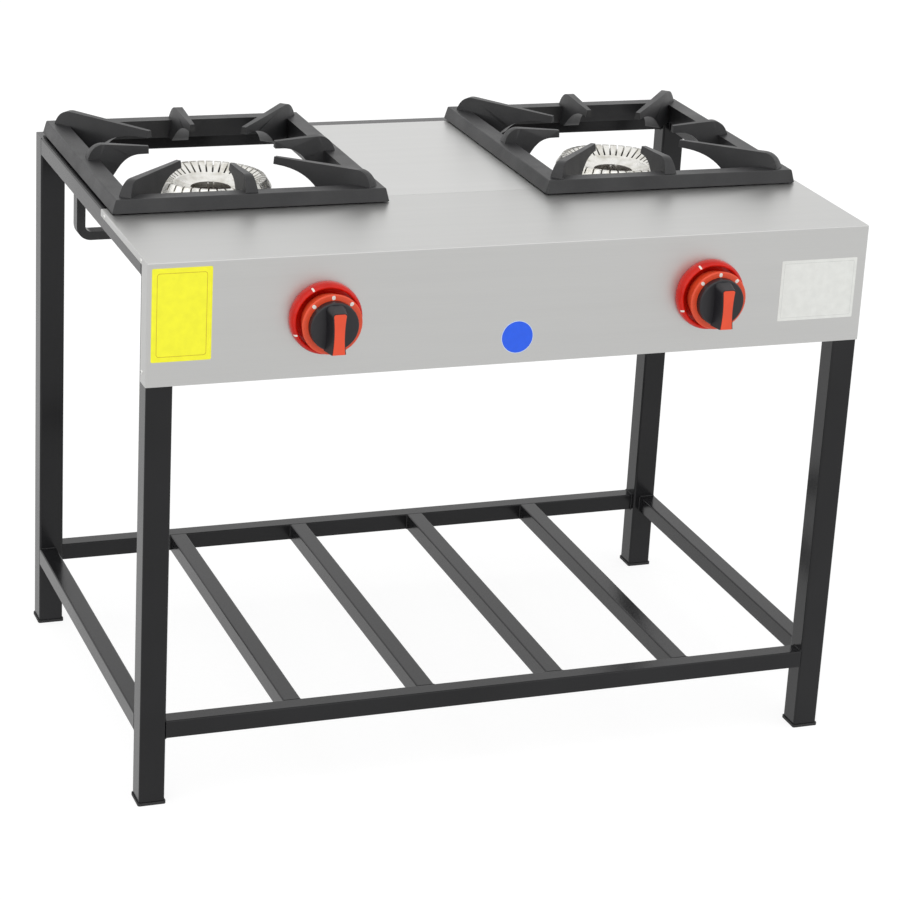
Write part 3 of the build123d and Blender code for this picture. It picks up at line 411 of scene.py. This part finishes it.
def screw_tree(settings):
    """Pan-head screws with a cross recess on points, facing away from the middle along X."""
    length = "NodeSocketFloat"
    tree, start = geometry_tree(
        "pan_head_screws",
        (
            ("Head Radius", length, settings.head_radius),
            ("Head Height", length, settings.head_height),
            ("Recess Width", length, settings.recess_width),
            ("Recess Depth", length, settings.recess_depth),
            ("Seed", "NodeSocketInt", settings.seed),
        ),
    )
    rows, turns = 9, 24
    grid = place(
        tree,
        "GeometryNodeMeshGrid",
        {"Size X": 1.0, "Size Y": 1.0, "Vertices X": turns + 1, "Vertices Y": rows},
    )
    position = place(tree, "GeometryNodeInputPosition").outputs[0]
    where = place(tree, "ShaderNodeSeparateXYZ", {"Vector": position})
    angle = product(tree, sum_of(tree, where.outputs["X"], 0.5), 2 * math.pi)
    sweep = product(tree, sum_of(tree, where.outputs["Y"], 0.5), math.pi)
    reach = place(tree, "ShaderNodeMath", {0: sweep}, operation="SINE").outputs[0]
    rise = place(tree, "ShaderNodeMath", {0: sweep}, operation="COSINE").outputs[0]
    above = place(tree, "ShaderNodeMath", {0: rise, 1: 0.0}, operation="MAXIMUM").outputs[0]
    dome = place(tree, "ShaderNodeMath", {0: above, 1: SCREW_DOME_POWER}, operation="POWER").outputs[0]
    wide = product(tree, reach, start["Head Radius"])
    cos = place(tree, "ShaderNodeMath", {0: angle}, operation="COSINE").outputs[0]
    sin = place(tree, "ShaderNodeMath", {0: angle}, operation="SINE").outputs[0]
    spot = place(
        tree,
        "ShaderNodeCombineXYZ",
        {
            "X": product(tree, cos, wide),
            "Y": product(tree, sin, wide),
            "Z": product(tree, dome, start["Head Height"]),
        },
    )
    domed = {"Geometry": grid.outputs["Mesh"], "Position": spot.outputs[0]}
    bent = place(tree, "GeometryNodeSetPosition", domed)
    closed = place(tree, "GeometryNodeMergeByDistance", {"Geometry": bent.outputs[0], "Distance": 0.00001})
    span = product(tree, start["Head Radius"], RECESS_SPAN)
    lift = place(tree, "ShaderNodeCombineXYZ", {"Z": start["Head Height"]})
    twice = product(tree, start["Recess Depth"], 2.0)
    cutters = []
    for wide_x, wide_y in ((span, start["Recess Width"]), (start["Recess Width"], span)):
        size = place(tree, "ShaderNodeCombineXYZ", {"X": wide_x, "Y": wide_y, "Z": twice})
        cube = place(tree, "GeometryNodeMeshCube", {"Size": size.outputs[0]})
        raised = {"Geometry": cube.outputs[0], "Translation": lift.outputs[0]}
        cutters.append(place(tree, "GeometryNodeTransform", raised).outputs[0])
    cut = closed.outputs[0]
    for cutter in cutters:
        pair = {"Mesh 1": cut, "Mesh 2": cutter}
        cut = place(tree, "GeometryNodeMeshBoolean", pair, operation="DIFFERENCE").outputs[0]
    side = place(tree, "ShaderNodeSeparateXYZ", {"Vector": position})
    outward = place(tree, "ShaderNodeCombineXYZ", {"X": side.outputs["X"]})
    facing = place(tree, "FunctionNodeAlignRotationToVector", {"Vector": outward.outputs[0]}, axis="Z")
    spin = place(
        tree, "FunctionNodeRandomValue", {"Min": 0.0, "Max": 0.0, "Seed": start["Seed"]}, data_type="FLOAT"
    )
    spin.inputs[3].default_value = math.pi / 2
    turn = place(tree, "ShaderNodeCombineXYZ", {"Z": spin.outputs[1]})
    turned = place(
        tree,
        "FunctionNodeRotateRotation",
        {"Rotation": facing.outputs[0], "Rotate By": turn.outputs[0]},
        rotation_space="LOCAL",
    )
    placed = place(
        tree,
        "GeometryNodeInstanceOnPoints",
        {"Points": start["Geometry"], "Instance": cut, "Rotation": turned.outputs[0]},
    )
    close_tree(tree, start, placed.outputs[0], smooth=False)
    return tree


# ---- welds ---------------------------------------------------------------------------------------


def weld_tree(settings):
    """Overlapping beads along lines, like the ripples of a weld."""
    length = "NodeSocketFloat"
    tree, start = geometry_tree(
        "weld_beads",
        (
            ("Pitch", length, settings.weld_pitch),
            ("Width", length, settings.weld_width),
            ("Unevenness", length, WELD_UNEVENNESS),
            ("Seed", "NodeSocketInt", settings.seed),
        ),
    )
    lines = place(tree, "GeometryNodeMeshToCurve", {"Mesh": start["Geometry"]}).outputs[0]
    steps = {"Curve": lines, "Length": start["Pitch"]}
    spots = place(tree, "GeometryNodeCurveToPoints", steps, mode="LENGTH")
    ball = place(tree, "GeometryNodeMeshUVSphere", {"Segments": 8, "Rings": 4, "Radius": 1.0}).outputs["Mesh"]
    long = product(tree, start["Pitch"], 1.1)
    wide = product(tree, start["Width"], 0.5)
    shape = place(tree, "ShaderNodeCombineXYZ", {"X": wide, "Y": wide, "Z": long})
    jitter = place(tree, "FunctionNodeRandomValue", {"Seed": start["Seed"]}, data_type="FLOAT")
    tree.links.new(
        place(tree, "ShaderNodeMath", {0: 1.0, 1: start["Unevenness"]}, operation="SUBTRACT").outputs[0],
        jitter.inputs[2],
    )
    tree.links.new(sum_of(tree, start["Unevenness"], 1.0), jitter.inputs[3])
    uneven = place(
        tree, "ShaderNodeVectorMath", {0: shape.outputs[0], "Scale": jitter.outputs[1]}, operation="SCALE"
    )
    beads = place(
        tree,
        "GeometryNodeInstanceOnPoints",
        {
            "Points": spots.outputs["Points"],
            "Instance": ball,
            "Rotation": spots.outputs["Rotation"],
            "Scale": uneven.outputs[0],
        },
    )
    close_tree(tree, start, beads.outputs[0])
    return tree


def end_edges(node, along, kept):
    """The edges of a rail's two ends that carry a weld, as pairs of points.

    Each kept edge is given as the axis of the face it lies on and which side of the rail.
    """
    low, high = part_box(node)
    found = []
    for end in (low, high):
        for axis, side in kept:
            other = 3 - along - axis
            first, last = Vector(low), Vector(high)
            first[along] = last[along] = end[along]
            first[axis] = last[axis] = (low, high)[side][axis]
            margin = WELD_END_MARGIN * (high[other] - low[other])
            first[other], last[other] = low[other] + margin, high[other] - margin
            found.append((first, last))
    return found


def weld_lines():
    """The lines of every weld on the stand, from the rails' own boxes."""
    lines = []
    for side, inner in (("left", 1), ("right", 0)):
        lines += end_edges(f"side_rail_{side}", 1, ((0, inner), (2, 0)))
        lines += end_edges(f"shelf_rail_{side}", 1, ((0, inner), (2, 0), (2, 1)))
        lines += end_edges(f"middle_rail_{side}", 1, ((0, 0), (0, 1), (2, 0)))
    for node, inner in (("shelf_rail_front", 1), ("shelf_rail_rear", 0)):
        lines += end_edges(node, 0, ((1, inner), (2, 0), (2, 1)))
    for node, inner in (("front_rail", 1), ("rear_rail", 0)):
        lines += end_edges(node, 0, ((1, inner), (2, 0)))
    lines += end_edges("cross_rail", 0, ((1, 0), (1, 1)))
    for number in range(1, 5):
        lines += end_edges(f"shelf_slat_{number}", 1, ((0, 0), (0, 1)))
    return lines


# ---- marks on the knobs ------------------------------------------------------------------------------


def skirt_mark(shell, centre, angle, settings, front):
    """A rounded dab of paint on the front of a knob's skirt."""
    outline = rounded_outline(settings.mark_length, settings.mark_width, settings.mark_width * 0.42)
    spin = math.radians(angle)

    def to_world(across, along, lift):
        out = settings.mark_ring + across
        x = out * math.cos(spin) - along * math.sin(spin)
        z = out * math.sin(spin) + along * math.cos(spin)
        return Vector((centre.x + x, front - lift, centre.z + z))

    slab(shell, outline, to_world, settings.mark_thickness)


def dome_point(centre, angle, step, lift):
    """A point on the bezel's dome: step runs from 0 at its foot to 1 at its crest."""
    low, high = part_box("bezel_right")
    outer = (high.z - low.z) / 2
    crest_radius, foot = outer - BEZEL_CREST_INSET, BEZEL_FOOT
    tall = (high.y - low.y) - foot
    sweep = step * math.pi / 2
    radius = crest_radius + (outer - crest_radius + lift) * math.cos(sweep)
    forward = foot + (tall + lift) * math.sin(sweep)
    return Vector(
        (centre.x + radius * math.cos(angle), high.y - forward, centre.z + radius * math.sin(angle))
    )


def dome_patch(shell, centre, middle, half_turn, low_step, high_step, lift):
    """A thin patch of paint that follows the bezel's dome."""
    rows, turns = 6, 6
    skins = []
    for height in (0.0, lift):
        skins.append(
            [
                [
                    shell.verts.new(
                        dome_point(
                            centre,
                            middle + half_turn * (2 * column / turns - 1) * edge_round(row / rows),
                            low_step + (high_step - low_step) * row / rows,
                            height,
                        )
                    )
                    for column in range(turns + 1)
                ]
                for row in range(rows + 1)
            ]
        )
    under, over = skins
    for row in range(rows):
        for column in range(turns):
            for skin in skins:
                near, far = skin[row], skin[row + 1]
                shell.faces.new((near[column], near[column + 1], far[column + 1], far[column]))
    rim = [(0, c) for c in range(turns)] + [(r, turns) for r in range(rows)]
    rim += [(rows, c) for c in range(turns, 0, -1)] + [(r, 0) for r in range(rows, 0, -1)]
    for (r, c), (nr, nc) in zip(rim, rim[1:] + rim[:1]):
        shell.faces.new((under[r][c], under[nr][nc], over[nr][nc], over[r][c]))


def edge_round(share):
    """Narrows a patch near its two ends, so that its corners are round."""
    edge = min(share, 1 - share)
    return 0.72 + 0.28 * min(1.0, edge / 0.17)


# ---- settings ------------------------------------------------------------------------------------------


def metres(label, text, default):
    """A length setting."""
    return FloatProperty(name=label, description=text, default=default, unit="LENGTH", precision=5)


def colour(label, text, default):
    """A colour setting."""
    return FloatVectorProperty(name=label, description=text, default=default, subtype="COLOR", min=0, max=1)


def share(label, text, default):
    """A setting between 0 and 1."""
    return FloatProperty(name=label, description=text, default=default, subtype="FACTOR", min=0, max=1)


class StandSettings(bpy.types.PropertyGroup):
    paint: colour("Paint", "Colour of the stand's enamel", (0.011, 0.011, 0.012))
    paint_roughness: share("Paint roughness", "Roughness of the stand's enamel", 0.2)
    rubber: colour("Foot caps", "Colour of the foot caps", (0.016, 0.016, 0.017))
    weld_pitch: metres("Weld pitch", "Distance from ripple to ripple along a weld", 0.0016)
    weld_width: metres("Weld width", "Width of a weld bead", 0.0032)
    seed: IntProperty(name="Seed", description="Seed of the welds' unevenness", default=7)


class SheetSettings(bpy.types.PropertyGroup):
    steel: colour("Sheet", "Colour of the front cover", (0.585, 0.585, 0.575))
    # The plate is the cover's brushed stainless in a lighter tone: the extra lightness is a painted
    # reflection
    plate: colour("Plate", "Colour of the plate between the grates", (0.64, 0.64, 0.63))
    roughness: share("Roughness", "Roughness of the brushed sheet", 0.36)
    line_pitch: metres("Brush pitch", "Distance between the brushed lines", 0.0008)
    wave: metres("Waviness", "Depth of the sheet's slow waves", 0.0006)


class ScrewSettings(bpy.types.PropertyGroup):
    head_radius: metres("Head radius", "Radius of a screw's head", 0.0032)
    head_height: metres("Head height", "Height of a screw's head", 0.0015)
    recess_width: metres("Recess width", "Width of the cross recess", 0.0008)
    recess_depth: metres("Recess depth", "Depth of the cross recess", 0.0008)
    seed: IntProperty(name="Seed", description="Seed of the heads' turn", default=3)


class GrateSettings(bpy.types.PropertyGroup):
    iron: colour("Iron", "Colour of the grates", (0.011, 0.011, 0.012))
    worn: colour("Raised grain", "Colour where the grain stands up", (0.022, 0.022, 0.023))
    roughness: share("Roughness", "Roughness of the grates", 0.40)
    sand: metres("Sand depth", "Depth of the sand-cast grain", 0.00018)
    edge: metres("Edge", "Width of the rounded edges of the casting", 0.0016)


class BurnerSettings(bpy.types.PropertyGroup):
    head: colour("Head", "Colour of the slotted heads", (0.84, 0.83, 0.79))
    head_stain: colour("Head shade", "Darker tone of the slotted heads", (0.62, 0.60, 0.54))
    iron: colour("Body", "Colour of the burner bodies", (0.055, 0.043, 0.034))
    iron_light: colour("Body raised", "Paler tone of the burner bodies", (0.12, 0.095, 0.075))
    turning_pitch: metres("Turning pitch", "Distance between turning marks", 0.0009)


class KnobSettings(bpy.types.PropertyGroup):
    bezel: colour("Bezel", "Colour of the fixed ring", (0.66, 0.012, 0.004))
    bezel_deep: colour("Bezel shade", "Deeper tone of the fixed ring", (0.52, 0.006, 0.002))
    skirt: colour("Skirt", "Colour of the knob's skirt and pointer", (0.80, 0.072, 0.020))
    grip: colour("Grip", "Colour of the knob's disc and grip", (0.011, 0.010, 0.013))
    mark: colour("Marks", "Colour of the setting marks", (0.88, 0.86, 0.80))
    mark_ring: metres("Mark ring", "Radius of the circle the skirt's marks lie on", 0.0358)
    mark_length: metres("Mark length", "Length of a skirt mark, outwards", 0.0056)
    mark_width: metres("Mark width", "Width of a skirt mark", 0.0046)
    mark_thickness: metres("Mark thickness", "How far a mark stands up", 0.0002)


class LabelSettings(bpy.types.PropertyGroup):
    yellow: colour("Yellow", "Colour of the tall label", (0.98, 0.95, 0.022))
    yellow_line: colour("Yellow border", "Colour of the tall label's border line", (0.60, 0.44, 0.010))
    white: colour("White", "Colour of the wide label", (0.78, 0.79, 0.76))
    white_line: colour("White border", "Colour of the wide label's border line", (0.60, 0.61, 0.59))
    blue: colour("Blue", "Colour of the round label", (0.010, 0.110, 0.86))
    rim: colour("Blue rim", "Colour of the round label's rim", (0.62, 0.72, 0.86))
    thickness: metres("Thickness", "Thickness of a label", 0.0003)


class StageSettings(bpy.types.PropertyGroup):
    key: FloatProperty(name="Key", description="Strength of the lamp at the upper left", default=0.6)
    fill: FloatProperty(name="Fill", description="Strength of the lamp at the front", default=0.5)
    room: FloatProperty(name="Room", description="Strength of the room light", default=0.75)


# ---- operators --------------------------------------------------------------------------------------------


class POTRANGE_OT_stand(bpy.types.Operator):
    """Paints the stand and its feet, and lays the welds in its corners"""

    bl_idname = "pot_range.stand"
    bl_label = "Stand"

    def execute(self, context):
        settings = context.scene.pot_range_stand
        paint = enamel("frame_enamel", settings.paint, settings.paint_roughness, 0.00004, 0.3)
        rubber = moulding("foot_rubber", settings.rubber, 0.62, 0.0001)
        rails = [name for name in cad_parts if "_rail" in name or "_slat_" in name]
        dress(paint, *both("leg_front", "leg_rear"), *rails)
        dress(rubber, *both("foot_front", "foot_rear"))
        points, edges = [], []
        for first, last in weld_lines():
            edges.append((len(points), len(points) + 1))
            points += [first, last]
        values = {"Pitch": settings.weld_pitch, "Width": settings.weld_width}
        welds = run_tree(weld_tree(settings), points, edges, values, "stand_welds", paint)
        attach(welds, "stand")
        return {"FINISHED"}


class POTRANGE_OT_sheets(bpy.types.Operator):
    """Brushes the front cover and the middle plate, whose lighter tone of the same sheet is a painted
    reflection
    """

    bl_idname = "pot_range.sheets"
    bl_label = "Sheet metal"

    def execute(self, context):
        settings = context.scene.pot_range_sheet
        sheets = (
            ("brushed_cover", settings.steel, "front_cover"),
            # The plate's material is a lighter copy of the cover's sheet, with a painted reflection in its
            # colour
            ("brushed_plate_painted_reflection", settings.plate, "middle_plate"),
        )
        for name, tone, node in sheets:
            dress(brushed_sheet(name, tone, settings.roughness, settings.line_pitch, settings.wave), node)
        return {"FINISHED"}


class POTRANGE_OT_screws(bpy.types.Operator):
    """Drives cross-recess screws through the cover's flanges"""

    bl_idname = "pot_range.screws"
    bl_label = "Cover screws"

    def execute(self, context):
        settings = context.scene.pot_range_screw
        steel = turned_metal("screw_zinc", (0.78, 0.78, 0.76), 0.28, 0.0002, 0.00002)
        low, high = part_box("cover_screws")
        radius = settings.head_radius
        face = high.x - settings.head_height
        spots = [
            (high.y - radius, high.z - radius),
            (PANEL_FACE + LEG_SCREW_BACK, high.z - radius),
            (low.y + radius, low.z + radius),
        ]
        points = [(sx * face, y, z) for sx in (-1, 1) for y, z in spots]
        values = {
            "Head Radius": radius,
            "Head Height": settings.head_height,
            "Recess Width": settings.recess_width,
            "Recess Depth": settings.recess_depth,
        }
        screws = run_tree(screw_tree(settings), points, [], values, "cross_screws", steel)
        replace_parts(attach(screws, "stand"), "cover_screws")
        return {"FINISHED"}


class POTRANGE_OT_grates(bpy.types.Operator):
    """Gives the grates their sand-cast, satin black iron and rounds their edges"""

    bl_idname = "pot_range.grates"
    bl_label = "Grates"

    def execute(self, context):
        settings = context.scene.pot_range_grate
        iron = casting("grate_iron", settings.iron, settings.worn, settings.roughness, settings.sand)
        dress(iron, *both("grate"))
        soften(settings.edge, *both("grate"))
        return {"FINISHED"}


class POTRANGE_OT_burners(bpy.types.Operator):
    """Finishes the slotted heads, the burner bodies, their cradles, studs and bolts"""

    bl_idname = "pot_range.burners"
    bl_label = "Burners"

    def execute(self, context):
        settings = context.scene.pot_range_burner
        head = turned_metal(
            "head_metal",
            settings.head,
            0.30,
            settings.turning_pitch,
            0.00004,
            HEAD_CENTRE,
            settings.head_stain,
        )
        iron = casting("burner_iron", settings.iron, settings.iron_light, 0.6, 0.0003)
        dress(head, *both("burner_head"))
        dress(iron, *both("burner_body"))
        dress(enamel("cradle_paint", (0.014, 0.014, 0.015), 0.3, 0.00005), *both("burner_cradle"))
        dress(turned_metal("stud_steel", (0.86, 0.84, 0.80), 0.16, 0.0003, 0.00001), "burner_studs")
        dress(turned_metal("bolt_zinc", (0.46, 0.45, 0.43), 0.45, 0.0005, 0.00004), "burner_bolts")
        return {"FINISHED"}


class POTRANGE_OT_gas_train(bpy.types.Operator):
    """Finishes the gas pipe, taps, tubes and injectors behind the panel"""

    bl_idname = "pot_range.gas_train"
    bl_label = "Gas train"

    def execute(self, context):
        brass = turned_metal("brass", (0.76, 0.57, 0.25), 0.3, 0.0005, 0.00002)
        dress(brass, "inlet_nipple", *both("tap_body", "injector", "spindle", "spindle_collar"))
        pipe = enamel("pipe_paint", (0.20, 0.20, 0.195), 0.4, 0.00006)
        dress(pipe, "manifold", "manifold_brackets", "manifold_cap")
        clamps = turned_metal("clamp_zinc", (0.58, 0.57, 0.54), 0.38, 0.0005, 0.00003)
        dress(clamps, "manifold_straps", "strap_screws")
        dress(turned_metal("tube_aluminium", (0.74, 0.74, 0.73), 0.34, 0.0005, 0.00002), *both("supply_tube"))
        return {"FINISHED"}


class POTRANGE_OT_knobs(bpy.types.Operator):
    """Colours the knobs and their rings, and paints the setting marks"""

    bl_idname = "pot_range.knobs"
    bl_label = "Knobs"

    def execute(self, context):
        settings = context.scene.pot_range_knob
        skirt = moulding("skirt_orange", settings.skirt, 0.38, 0.00005)
        mark = printed("mark_white", settings.mark)
        dress(moulding("bezel_red", settings.bezel, 0.12, 0.00001, 0.28, settings.bezel_deep), *both("bezel"))
        dress(skirt, *both("knob_skirt", "knob_pointer"))
        dress(moulding("grip_black", settings.grip, 0.42, 0.00006), *both("knob_grip"))
        for side, sx in zip(SIDES, (-1, 1)):
            centre = Vector((sx * KNOB_CENTRE.x, 0, KNOB_CENTRE.z))
            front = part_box(f"knob_skirt_{side}")[0].y

            def skirt_marks(shell):
                for angle in SKIRT_MARK_ANGLES:
                    skirt_mark(shell, centre, angle, settings, front)

            def ring_marks(shell):
                for angle in RING_MARK_ANGLES:
                    turn = math.radians(angle)
                    reach = (RING_MARK_HALF_TURN, *RING_MARK_SPAN)
                    dome_patch(shell, centre, turn, *reach, settings.mark_thickness)

            on_skirt = new_piece(f"skirt_marks_{side}", mesh_from("skirt_marks", skirt_marks), mark)
            on_ring = new_piece(f"ring_marks_{side}", mesh_from("ring_marks", ring_marks), mark)
            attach(on_skirt, f"{side}_knob")
            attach(on_ring, "stand")
        return {"FINISHED"}


class POTRANGE_OT_labels(bpy.types.Operator):
    """Sticks the three blank labels on the front panel"""

    bl_idname = "pot_range.labels"
    bl_label = "Labels"

    def execute(self, context):
        settings = context.scene.pot_range_label
        thick = settings.thickness
        inks = {
            key: printed(f"label_{key}", getattr(settings, key))
            for key in ("yellow", "yellow_line", "white", "white_line", "blue", "rim")
        }

        def sticker(name, ink, low, high, corner, inset=0.0, line=0.0, lift=0.0):
            middle = ((low[0] + high[0]) / 2, (low[1] + high[1]) / 2)
            width, height = high[0] - low[0] - 2 * inset, high[1] - low[1] - 2 * inset
            outline = rounded_outline(width, height, corner, 12 if corner > width / 3 else 5)
            inner = None
            if line:
                inner = rounded_outline(width - 2 * line, height - 2 * line, max(corner - line, 0.0002), 5)

            def to_world(across, up, out):
                return Vector((middle[0] + across, PANEL_FACE - lift - out, middle[1] + up))

            build = lambda shell: slab(shell, outline, to_world, 0.00005 if line else thick, inner)
            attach(new_piece(name, mesh_from(name, build), inks[ink]), "stand")

        sticker("label_yellow", "yellow", *TALL_LABEL, 0.002)
        sticker("label_yellow_line", "yellow_line", *TALL_LABEL, 0.004, 0.0065, 0.0007, thick)
        sticker("label_white", "white", *WIDE_LABEL, 0.0015)
        sticker("label_white_line", "white_line", *WIDE_LABEL, 0.002, 0.004, 0.0004, thick)
        sticker("label_rim", "rim", *ROUND_LABEL, 0.02249)
        sticker("label_blue", "blue", *ROUND_LABEL, 0.0216, 0.0009, 0.0, 0.00012)
        return {"FINISHED"}


class POTRANGE_OT_stage(bpy.types.Operator):
    """Sets the floor, the room, the lamps and the camera"""

    bl_idname = "pot_range.stage"
    bl_label = "Stage"

    def execute(self, context):
        settings = context.scene.pot_range_stage
        scene = context.scene
        scene.view_settings.view_transform = "Standard"
        self.floor()
        self.room(scene, settings)
        lamps = (
            ("key", settings.key, (50, 0, -62)),
            ("fill", settings.fill, (58, 0, 25)),
        )
        for name, strength, turn in lamps:
            lamp = bpy.data.lights.new(name, "SUN")
            lamp.energy = strength
            lamp.angle = math.radians(LAMP_SPREAD)
            holder = bpy.data.objects.new(name, lamp)
            holder.rotation_euler = Euler([math.radians(part) for part in turn])
            scene.collection.objects.link(holder)
        lens = bpy.data.cameras.new("camera")
        lens.lens = CAMERA_LENS
        lens.shift_x, lens.shift_y = CAMERA_SHIFT
        lens.clip_start, lens.clip_end = 0.1, 100
        camera = bpy.data.objects.new("camera", lens)
        camera.location = CAMERA_PLACE
        camera.rotation_euler = Euler([math.radians(part) for part in CAMERA_TURN])
        scene.collection.objects.link(camera)
        scene.camera = camera
        return {"FINISHED"}

    def floor(self):
        """A pale floor that the camera and reflections see as white, apart from its shadow."""

        def square(shell):
            bmesh.ops.create_grid(shell, x_segments=1, y_segments=1, size=FLOOR_REACH)

        mesh = mesh_from("floor", square)
        material, tree, shader, coords = new_material("floor_white")
        tone = noise(tree, coords, 0.8, 2.0)
        tree.links.new(tint(tree, tone, (0.88, 0.88, 0.88), (0.9, 0.9, 0.9)), shader.inputs["Base Color"])
        constants(shader, {"Roughness": 0.9, "Specular IOR Level": 0.1})
        rays, seen = seen_rays(tree)
        bright = sum_of(tree, product(tree, rays["Is Camera Ray"], 0.22), 0.92)
        glow = place(tree, "ShaderNodeEmission", {"Color": (1, 1, 1, 1), "Strength": bright})
        part = product(tree, seen, 0.75)
        mixed = place(tree, "ShaderNodeMixShader", {0: part, 1: shader.outputs[0], 2: glow.outputs[0]})
        output = next(node for node in tree.nodes if node.type == "OUTPUT_MATERIAL")
        tree.links.new(mixed.outputs[0], output.inputs["Surface"])
        new_piece("floor", mesh, material)

    def room(self, scene, settings):
        """A white room for the camera and reflections, and softer light for the rest."""
        world = bpy.data.worlds.new("room")
        world.use_nodes = True
        scene.world = world
        tree = world.node_tree
        background = next(node for node in tree.nodes if node.type == "BACKGROUND")
        background.inputs["Color"].default_value = (1, 1, 1, 1)
        seen = seen_rays(tree)[1]
        tree.links.new(between(tree, seen, settings.room, 1.0, 0.0, 1.0), background.inputs["Strength"])


class POTRANGE_PT_panel(bpy.types.Panel):
    """Lists the pieces that can be made"""

    bl_idname = "POTRANGE_PT_panel"
    bl_label = "Pot Range"
    bl_space_type = "VIEW_3D"
    bl_region_type = "UI"
    bl_category = "Pot Range"

    def draw(self, context):
        for operator in OPERATORS:
            self.layout.operator(operator.bl_idname)
        for key in SETTINGS:
            box = self.layout.box()
            group = getattr(context.scene, key)
            for field in group.bl_rna.properties:
                if not field.is_readonly and field.identifier != "name":
                    box.prop(group, field.identifier)


OPERATORS = (
    POTRANGE_OT_stand,
    POTRANGE_OT_sheets,
    POTRANGE_OT_screws,
    POTRANGE_OT_grates,
    POTRANGE_OT_burners,
    POTRANGE_OT_gas_train,
    POTRANGE_OT_knobs,
    POTRANGE_OT_labels,
    POTRANGE_OT_stage,
)
SETTINGS = {
    "pot_range_stand": StandSettings,
    "pot_range_sheet": SheetSettings,
    "pot_range_screw": ScrewSettings,
    "pot_range_grate": GrateSettings,
    "pot_range_burner": BurnerSettings,
    "pot_range_knob": KnobSettings,
    "pot_range_label": LabelSettings,
    "pot_range_stage": StageSettings,
}


def register():
    """Registers the settings, operators and panel."""
    for group in SETTINGS.values():
        bpy.utils.register_class(group)
    for key, group in SETTINGS.items():
        setattr(bpy.types.Scene, key, PointerProperty(type=group))
    for operator in OPERATORS:
        bpy.utils.register_class(operator)
    bpy.utils.register_class(POTRANGE_PT_panel)


def unregister():
    """Takes the settings, operators and panel away again."""
    bpy.utils.unregister_class(POTRANGE_PT_panel)
    for operator in reversed(OPERATORS):
        bpy.utils.unregister_class(operator)
    for key in SETTINGS:
        delattr(bpy.types.Scene, key)
    for group in reversed(SETTINGS.values()):
        bpy.utils.unregister_class(group)


def main():
    """Makes every piece in order."""
    register()
    for operator in OPERATORS:
        group, name = operator.bl_idname.split(".")
        getattr(getattr(bpy.ops, group), name)()


if __name__ == "__main__":
    main()
